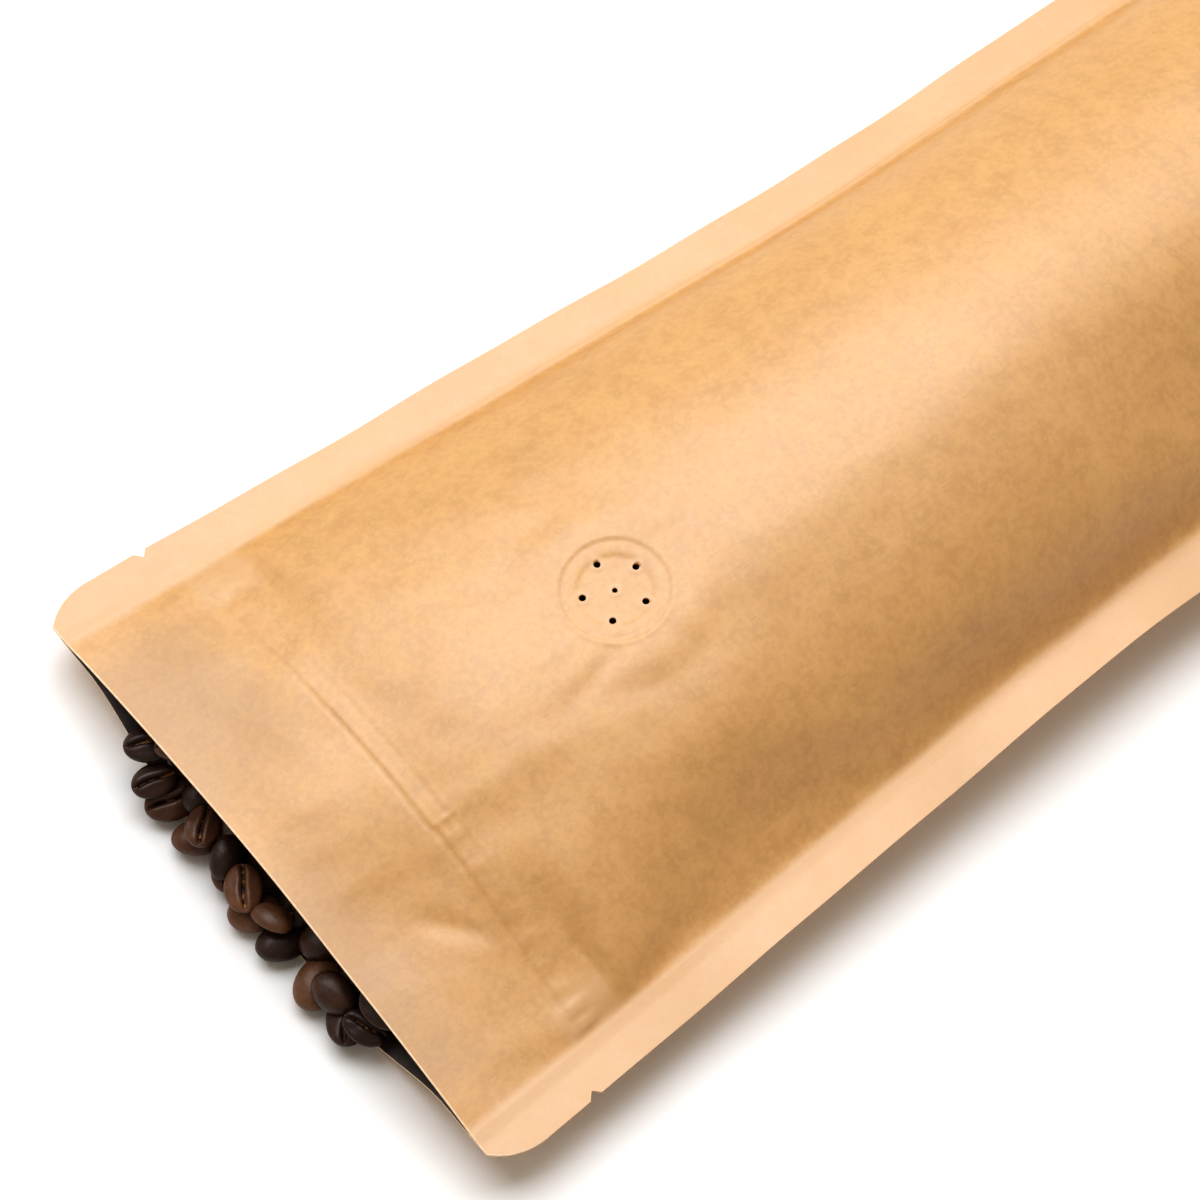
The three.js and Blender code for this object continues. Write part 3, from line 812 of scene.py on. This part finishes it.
def turnMatrix(pitch, roll, heading):
    tilt = Matrix.Rotation(pitch, 3, "X") @ Matrix.Rotation(roll, 3, "Y")
    return np.array(tilt @ Matrix.Rotation(heading, 3, "Z"))


beanForm = dict(
    kinds=6, segments=36, rings=20, crowd=0.6, underShare=0.5, plainShare=0.6,
    winding=(0.015, 0.05), windPace=8, gape=(0.035, 0.06), creaseEnd=(0.38, 0.5), groove=0.15,
    lip=0.05, lipAt=0.14, lipWidth=0.09, lump=0.02, lumpWave=0.42, lopsided=0.1,
)


def addBall():
    f = beanForm
    deselect()
    bpy.ops.mesh.primitive_uv_sphere_add(segments=f["segments"], ring_count=f["rings"], radius=0.5)
    return bpy.context.object


def beanShape(kind):
    # one bean, 1 long, 1 wide and 1 deep: round above, flatter below with a crease along it
    f = beanForm
    draw = np.random.default_rng(kind)
    winding = draw.uniform(*f["winding"])
    phase = draw.uniform(-1, 1)
    gape = draw.uniform(*f["gape"])
    piece = addBall()
    at = readPlaces(piece)
    bpy.data.objects.remove(piece)
    side = np.arctan2(at[:, 1], -at[:, 0])  # round the long axis, 0 under the bean
    side = side - f["crowd"] * np.sin(side)  # more points at the crease
    girth = np.hypot(at[:, 0], at[:, 1])
    long = at[:, 2]
    across, up = girth * np.sin(side), -girth * np.cos(side)
    below = up < 0
    up = np.where(below, f["underShare"] * up, up)
    bend = winding * np.sin(long * f["windPace"] + phase)  # the crease winds a little
    ends = 1 - ease(np.abs(long), *f["creaseEnd"])
    groove = bell(across - bend, gape) * ends * below
    lipSwell = f["lip"] * bell(np.abs(across - bend) - f["lipAt"], f["lipWidth"]) * ends * below
    lumps = f["lump"] * ripples(long + 0.3 * up, across - 0.4 * up, f["lumpWave"], seed=kind + 40, count=12)
    up = up + f["groove"] * groove - lipSwell + lumps * np.sign(up)
    across = across * (1 + f["lopsided"] * draw.uniform(-1, 1) * long)
    return np.stack([long, across, up], -1), groove


def lowPolyBean():
    # the plain outline that decides whether a bean has room
    points = []
    for layer in range(6):
        tilt = math.pi * layer / 5
        girth = 0.5 * math.sin(tilt)
        up = 0.5 * math.cos(tilt)
        if up < 0:
            up = beanForm["plainShare"] * up
        for corner in range(8):
            turn = 2 * math.pi * corner / 7
            points.append((-girth * math.cos(turn), -girth * math.sin(turn), up))
    return np.array(points)


def placedBeans():
    h = heap
    draw = drawer(h["seed"])
    slope = math.radians(h["slope"])
    perRow = 2 * int(panelHalf // h["pitch"]) + 1
    outline = lowPolyBean()
    kept = []
    for row in range(h["rows"]):
        for i in range(perRow):
            d = [next(draw) for _ in range(8)]
            x = (i - (perRow - 1) / 2 + (0.5 if row % 2 else 0) + h["jitter"] * (d[0] - 0.5)) * h["pitch"]
            y = h["firstRow"] + (row + h["jitter"] * (d[1] - 0.5)) * h["rowStep"]
            size = h["smallest"] + h["sizeSpread"] * d[2]
            pitch = slope * float(ease(row, 0, 2)) + h["tilt"] * (d[4] - 0.5)
            roll = h["tilt"] * (d[5] - 0.5) + (math.pi if d[6] < 0.5 else 0)
            rest = max(y * math.tan(slope), 0) + h["toe"] + 0.5 + d[7]
            turn = turnMatrix(pitch, roll, math.pi * d[3])
            scale = size * np.array(h["beanSize"])
            body = (outline * scale) @ turn.T
            z = max(rest, pouchSize["outside"] + h["gap"] - body[:, 2].min())
            if fitsInside(body + (x, y, z)):
                kept.append(dict(at=np.array([x, y, z]), turn=turn, scale=scale))
    return kept


# balls that stand for a bean while it is let down: along, across, up, radius
beanBalls = np.array([(0, 0, 0.5, 2.0), (3, 0, 0.5, 1.8), (-3, 0, 0.5, 1.8), (0, 1.6, 0.5, 1.8),
                      (0, -1.6, 0.5, 1.8)])
dropped = dict(tries=1500, half=50, rows=(-2.5, 9), tilt=0.35, sizes=(0.82, 1.0), tableGap=0.7, filmGap=0.3,
               clearReach=5.4, clearHalf=26.5, clearAbove=9.4, lipReach=0.5, lipHeight=8)


def ballsOf(bean):
    size = bean["scale"][0] / heap["beanSize"][0]
    return (beanBalls[:, :3] * size) @ bean["turn"].T, beanBalls[:, 3] * size


def dropBeans(lying):
    # more beans let down one by one into the gaps of those that lie there
    h = heap
    d = dropped
    draw = np.random.default_rng(h["seed"])
    outline = lowPolyBean()
    piled = []
    for bean in lying:
        spots, radii = ballsOf(bean)
        piled.append((spots + bean["at"], radii))
    added = []
    for _ in range(d["tries"]):
        x = draw.uniform(-d["half"], d["half"])
        y = draw.uniform(*d["rows"])
        pitch = draw.normal(0, d["tilt"])
        roll = draw.normal(0, d["tilt"]) + math.pi * draw.integers(2)
        turn = turnMatrix(pitch, roll, draw.uniform(0, math.pi))
        scale = draw.uniform(*d["sizes"]) * np.array(h["beanSize"])
        bean = dict(turn=turn, scale=scale)
        spots, radii = ballsOf(bean)
        spots = spots + (x, y, 0)
        onFilm = roomAt(roomLow, spots[:, 0], spots[:, 1]) + d["filmGap"]
        ground = np.where(spots[:, 1] < 0, d["tableGap"], onFilm)
        z = np.max(ground + radii - spots[:, 2])
        for places, sizes in piled:
            gap = np.hypot(spots[:, None, 0] - places[None, :, 0], spots[:, None, 1] - places[None, :, 1])
            reach = radii[:, None] + sizes[None, :]
            touch = places[None, :, 2] + np.sqrt(np.maximum(reach ** 2 - gap ** 2, 0)) - spots[:, None, 2]
            z = max(z, np.max(np.where(gap < reach, touch, -np.inf)))
        bean["at"] = np.array([x, y, z])
        body = (outline * scale) @ turn.T + bean["at"]
        nearMouth = (body[:, 1] < d["clearReach"]) & (np.abs(body[:, 0]) < d["clearHalf"])
        held = y > d["lipReach"] or z < d["lipHeight"]  # or it would roll out over the lip
        if held and fitsInside(body) and np.all(body[nearMouth, 2] < d["clearAbove"]):
            added.append(bean)
            piled.append((spots + (0, 0, z), radii))
    return added


def buildBeans():
    shapes = [beanShape(kind) for kind in range(beanForm["kinds"])]
    beans = placedBeans()
    beans = beans + dropBeans(beans)
    draw = np.random.default_rng(heap["shapeSeed"])
    made = []
    for bean in beans:
        shape, groove = shapes[draw.integers(len(shapes))]
        piece = addBall()
        writePlaces(piece, toMetres((shape * bean["scale"]) @ bean["turn"].T + bean["at"]))
        addTone(piece, "tone", np.full(len(shape), draw.uniform(0, 1)))
        addTone(piece, "crease", groove)
        made.append(piece)
    piece = joinPieces(made)
    piece.name = "roastedBeans"
    editAll(piece)
    bpy.ops.mesh.normals_make_consistent(inside=False)
    objectMode()
    smooth(piece, degrees=70)
    return piece, len(beans)


core = dict(inset=5.5, edge=9, columns=25, rows=33, along=(4, 196), narrow=0.2, narrowReach=60, under=3.2)


def buildCore():
    # what the beans that show lie on, kept clear of film, zip and valve
    c = core
    u = np.linspace(-panelHalf + c["edge"], panelHalf - c["edge"], c["columns"])
    rows = []
    for v in np.linspace(*c["along"], c["rows"]):
        share = 1 - c["narrow"] * (1 - ease(v, 0, c["narrowReach"]))
        top = frontPlace(u * share, np.full_like(u, v), -c["inset"])
        under = backPlace(u[::-1] * share, np.full_like(u, v), -c["inset"])
        rows.append(np.concatenate([top, under]))
    ends = [0.5 * (row + row[::-1]) for row in (rows[0], rows[-1])]
    piece = wrappedSheet("beanCore", np.array([ends[0], *rows, ends[1]]))[0]
    closeSheet(piece)
    editAll(piece)
    slope = math.radians(heap["slope"])
    bpy.ops.mesh.bisect(plane_co=(0, mouthY, (heap["toe"] - c["under"]) * mm),
                        plane_no=(0, -math.sin(slope), math.cos(slope)),
                        use_fill=True, clear_outer=True)
    objectMode()
    closeSheet(piece)
    return piece


roastedBeans, beanCount = buildBeans()
beanCore = buildCore()
print("beans placed:", beanCount)


# shader wiring

class Wire:
    # a socket that takes part in sums; each sum adds its Math node

    def __init__(self, tree, socket=None):
        self.tree = tree
        self.socket = socket

    def node(self, kind, settings=None, sockets=None, out=0):
        made = self.tree.nodes.new(kind)
        for key, value in (settings or {}).items():
            setattr(made, key, value)
        for key, value in (sockets or {}).items():
            if isinstance(value, Wire):
                self.tree.links.new(value.socket, made.inputs[key])
            else:
                made.inputs[key].default_value = value
        return Wire(self.tree, made.outputs[out])

    def sum(self, operation, first, second):
        return self.node("ShaderNodeMath", {"operation": operation}, {0: first, 1: second})

    def __add__(self, other):
        return self.sum("ADD", self, other)

    __radd__ = __add__

    def __sub__(self, other):
        return self.sum("SUBTRACT", self, other)

    def __rsub__(self, other):
        return self.sum("SUBTRACT", other, self)

    def __mul__(self, other):
        return self.sum("MULTIPLY", self, other)

    __rmul__ = __mul__

    def between(self, low, high):
        # 0 at low and 1 at high, smooth
        return self.node("ShaderNodeMapRange", {"interpolation_type": "SMOOTHSTEP"},
                         {"Value": self, "From Min": low, "From Max": high})

    def tint(self, first, second):
        # the first colour at 0, the second at 1
        return self.node("ShaderNodeMix", {"data_type": "RGBA"}, {0: self, 6: first, 7: second}, 2)

    def bump(self, height, strength):
        sockets = {"Strength": strength, "Distance": 0.25 * mm, "Height": height}
        return self.node("ShaderNodeBump", {}, sockets)

    def tone(self, name):
        return self.node("ShaderNodeAttribute", {"attribute_name": name}, out="Fac")


def newMaterial(name, **fixed):
    made = bpy.data.materials.new(name)
    made.use_nodes = True
    shader = made.node_tree.nodes["Principled BSDF"]
    for key, value in fixed.items():
        shader.inputs[key.replace("_", " ")].default_value = value
    place = Wire(made.node_tree).node("ShaderNodeTexCoord", out="Object")
    return made, shader, place


def plug(shader, socketName, value):
    shader.id_data.links.new(value.socket, shader.inputs[socketName])


def speckle(place, scale, detail=2.0, stretch=(1, 1, 1), turn=0.0):
    mapping = {"Vector": place, "Rotation": (0, 0, turn), "Scale": stretch}
    turned = place.node("ShaderNodeMapping", {}, mapping)
    return place.node("ShaderNodeTexNoise", {}, {"Vector": turned, "Scale": scale, "Detail": detail})


kraftLook = dict(
    pale=(0.64, 0.365, 0.125, 1), deep=(0.49, 0.255, 0.075, 1), rosy=(0.62, 0.325, 0.115, 1), rosyShare=0.3,
    fleck=(0.32, 0.15, 0.045, 1), strandShare=0.12, fleckShare=0.2, strandTurns=(0.3, 1.2, 2.3),
    # the darker colour for the paper near the mouth is painted shade
    straw=(0.72, 0.46, 0.19, 1), strawShare=0.3, paintedMouthShade=(0.26, 0.13, 0.039, 1), paintedMouthShadeShare=0.32,
    # the pale pressed colour carries painted sheen in the seals and painted light beside them
    pressed=(0.61, 0.375, 0.185, 1), pressedShare=0.7, roughness=0.56, roughSpread=0.12, bump=0.16,
)


def kraftPaper():
    k = kraftLook
    made, shader, place = newMaterial("kraftPaper", Specular_IOR_Level=0.8, IOR=1.8)
    cloud = speckle(place, 60, 3)
    mottle = speckle(place, 240, 3)
    grain = speckle(place, 700, 4)
    blush = speckle(place, 170, 2)
    strands = 0
    for turn in k["strandTurns"]:
        strands = strands + speckle(place, 520, 2, (4.5, 0.8, 1), turn).between(0.6, 0.8)
    flecks = grain.between(0.58, 0.68) * mottle.between(0.4, 0.6)
    depth = 0.2 * cloud + 0.3 * mottle + 0.5 * grain
    base = depth.between(0.7, 0.3).tint(k["pale"], k["deep"])
    warm = (k["rosyShare"] * blush.between(0.35, 0.65)).tint(base, k["rosy"])
    shaded = (k["strandShare"] * strands + k["fleckShare"] * flecks).tint(warm, k["fleck"])
    lights = (1 - grain).between(0.58, 0.7) * (1 - blush).between(0.4, 0.6)
    paperBeforeShade = (k["strawShare"] * lights).tint(shaded, k["straw"])
    # painted shade: the paper near the mouth is tinted darker
    sheet = (k["paintedMouthShadeShare"] * place.tone("paintedMouthShade")).tint(paperBeforeShade, k["paintedMouthShade"])
    # pale tone: pressed paper, with painted sheen in the seals and painted light beside them
    plug(shader, "Base Color", (k["pressedShare"] * place.tone("press")).tint(sheet, k["pressed"]))
    plug(shader, "Roughness", k["roughness"] + k["roughSpread"] * (mottle - 0.5))
    plug(shader, "Normal", place.bump(0.5 * grain + 0.5 * mottle + 0.3 * strands, k["bump"]))
    return made


# the lining is coloured near black: painted shade over a lining that shows only in shadow
paintedShadeLiningLook = dict(dark=(0.10, 0.085, 0.08, 1), pale=(0.20, 0.18, 0.17, 1), roughness=0.32, roughSpread=0.2)


def linedFilm():
    k = paintedShadeLiningLook
    made, shader, place = newMaterial("liningPaintedShade", Specular_IOR_Level=0.4)
    haze = speckle(place, 90, 3)
    plug(shader, "Base Color", haze.between(0.35, 0.65).tint(k["dark"], k["pale"]))
    plug(shader, "Roughness", k["roughness"] + k["roughSpread"] * haze)
    return made


# pale fibres of the cut edge, made paler still as a painted highlight along the lip
paleEdgeAndHighlightLook = dict(dark=(0.74, 0.54, 0.36, 1), pale=(0.84, 0.66, 0.48, 1))


def cutEdgeAndHighlight():
    made, shader, place = newMaterial("cutEdgeAndHighlight", Roughness=0.8)
    grain = speckle(place, 1500, 2)
    plug(shader, "Base Color", grain.between(0.3, 0.7).tint(paleEdgeAndHighlightLook["dark"], paleEdgeAndHighlightLook["pale"]))
    return made


zipLook = dict(pale=(0.70, 0.68, 0.63, 1), dark=(0.60, 0.58, 0.53, 1))
# the valve is coloured near black: painted shade, as it shows only in the dark through the pin holes
paintedShadeValveLook = dict(pale=(0.020, 0.017, 0.015, 1), dark=(0.030, 0.026, 0.022, 1))


def softPlastic(name, pale, dark):
    made, shader, place = newMaterial(name, Specular_IOR_Level=0.5)
    haze = speckle(place, 160, 3)
    plug(shader, "Base Color", haze.between(0.3, 0.7).tint(pale, dark))
    plug(shader, "Roughness", 0.34 + 0.16 * haze)
    return made


roastLook = dict(
    dark=(0.036, 0.017, 0.012, 1), brown=(0.095, 0.041, 0.022, 1), light=(0.20, 0.095, 0.045, 1),
    # the crease colour is painted shade in the bean's groove
    crease=(0.022, 0.009, 0.006, 1), chaff=(0.42, 0.21, 0.07, 1), chaffShare=0.8,
    roughness=0.31, roughSpread=0.22, bump=0.5,
)


def roastedSkin():
    k = roastLook
    made, shader, place = newMaterial("roastedSkin", Specular_IOR_Level=0.5)
    crease = place.tone("crease")
    patch = speckle(place, 300, 4)
    fine = speckle(place, 1500, 4)
    shade = 0.75 * place.tone("tone") + 0.5 * (patch - 0.5) + 0.25 * (fine - 0.5)
    dark = shade.between(0, 0.55).tint(k["dark"], k["brown"])
    skin = shade.between(0.45, 0.95).tint(dark, k["light"])
    # painted shade: the skin is coloured darker in the crease
    skinWithCreaseShade = crease.between(0.2, 0.7).tint(skin, k["crease"])
    chaff = crease.between(0.3, 0.8) * fine.between(0.42, 0.56) * patch.between(0.4, 0.6)
    plug(shader, "Base Color", (k["chaffShare"] * chaff).tint(skinWithCreaseShade, k["chaff"]))
    plug(shader, "Roughness", k["roughness"] + k["roughSpread"] * patch)
    plug(shader, "Normal", place.bump(0.6 * fine + patch, k["bump"]))
    return made


def wear(piece, *looks):
    piece.data.materials.clear()
    for look in looks:
        piece.data.materials.append(look)


paperSlots = np.empty(len(pouch.data.polygons), np.int32)
pouch.data.polygons.foreach_get("material_index", paperSlots)
wear(pouch, kraftPaper(), linedFilm(), cutEdgeAndHighlight())
pouch.data.polygons.foreach_set("material_index", paperSlots)
wear(zipFront, softPlastic("zipPlastic", **zipLook))
wear(zipBack, zipFront.data.materials[0])
wear(ventValve, softPlastic("valvePaintedShade", **paintedShadeValveLook))
roast = roastedSkin()
wear(roastedBeans, roast)
wear(beanCore, roast)
print("materials set")

dressed = [
    (pouch, ["pouch"], "kraft"),
    (roastedBeans, ["beans"], "roast"),
    (beanCore, [], "roast"),
    (zipFront, ["zip_front"], "clear"),
    (zipBack, ["zip_back"], "clear"),
    (ventValve, ["valve"], "vent"),
]
for piece, nodes, slot in dressed:
    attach(piece, "root")
    if nodes:
        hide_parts(*nodes)


# camera where the photograph was taken from, floor and lights

photoCamera = dict(azimuth=39.23, elevation=60.61, roll=12.94, target=(-5.61, 81.37, 20), distance=700,
                   lens=113.9, sensor=36, nearest=0.01)


def addCamera():
    c = photoCamera
    az, el, roll = (math.radians(c[k]) for k in ("azimuth", "elevation", "roll"))
    back = Vector((math.sin(az) * math.cos(el), -math.cos(az) * math.cos(el), math.sin(el)))
    right = (-back).cross(Vector((0, 0, 1))).normalized()
    up = right.cross(-back)
    side = math.cos(roll) * right + math.sin(roll) * up
    top = math.cos(roll) * up - math.sin(roll) * right
    turn = Matrix((side, top, back)).transposed().to_4x4()
    spot = Vector(toMetres(c["target"])) + back * c["distance"] * mm
    bpy.ops.object.camera_add()
    camera = bpy.context.object
    camera.data.lens = c["lens"]
    camera.data.sensor_width = c["sensor"]
    camera.data.clip_start = c["nearest"]
    camera.matrix_world = Matrix.Translation(spot) @ turn
    bpy.context.scene.camera = camera


studio = dict(
    floorSize=6, floorDrop=0.05, floorShade=(0.90, 0.90, 0.90, 1),
    lampSpot=(-0.50, 0.14, 1.2), lampSize=(1.7, 1.0), lampPower=17, lampShade=(0.92, 0.95, 1.0),
    worldShade=(1, 0.90, 0.77, 1), worldStrength=0.36,
)


def addFloor():
    deselect()
    bpy.ops.mesh.primitive_plane_add(size=studio["floorSize"], location=(0, 0, -studio["floorDrop"] * mm))
    floor = bpy.context.object
    floor.name = "floor"
    look = newMaterial("paleFloor", Base_Color=studio["floorShade"], Roughness=0.6, Specular_IOR_Level=0.2)[0]
    wear(floor, look)


def addLight():
    deselect()
    bpy.ops.object.light_add(type="AREA")
    lamp = bpy.context.object
    lamp.name = "overhead"
    lamp.data.shape = "RECTANGLE"
    lamp.data.size, lamp.data.size_y = studio["lampSize"]
    lamp.data.energy = studio["lampPower"]
    lamp.data.color = studio["lampShade"]
    spot = Vector(studio["lampSpot"])
    lamp.matrix_world = Matrix.Translation(spot) @ (-spot).to_track_quat("-Z", "Y").to_matrix().to_4x4()
    world = bpy.data.worlds.new("studio")
    world.use_nodes = True
    sky = world.node_tree.nodes["Background"]
    sky.inputs["Color"].default_value = studio["worldShade"]
    sky.inputs["Strength"].default_value = studio["worldStrength"]
    bpy.context.scene.world = world
    view = bpy.context.scene.view_settings
    view.view_transform = "Standard"
    view.look = "High Contrast"


addCamera()
addFloor()
addLight()

print("scene ready")
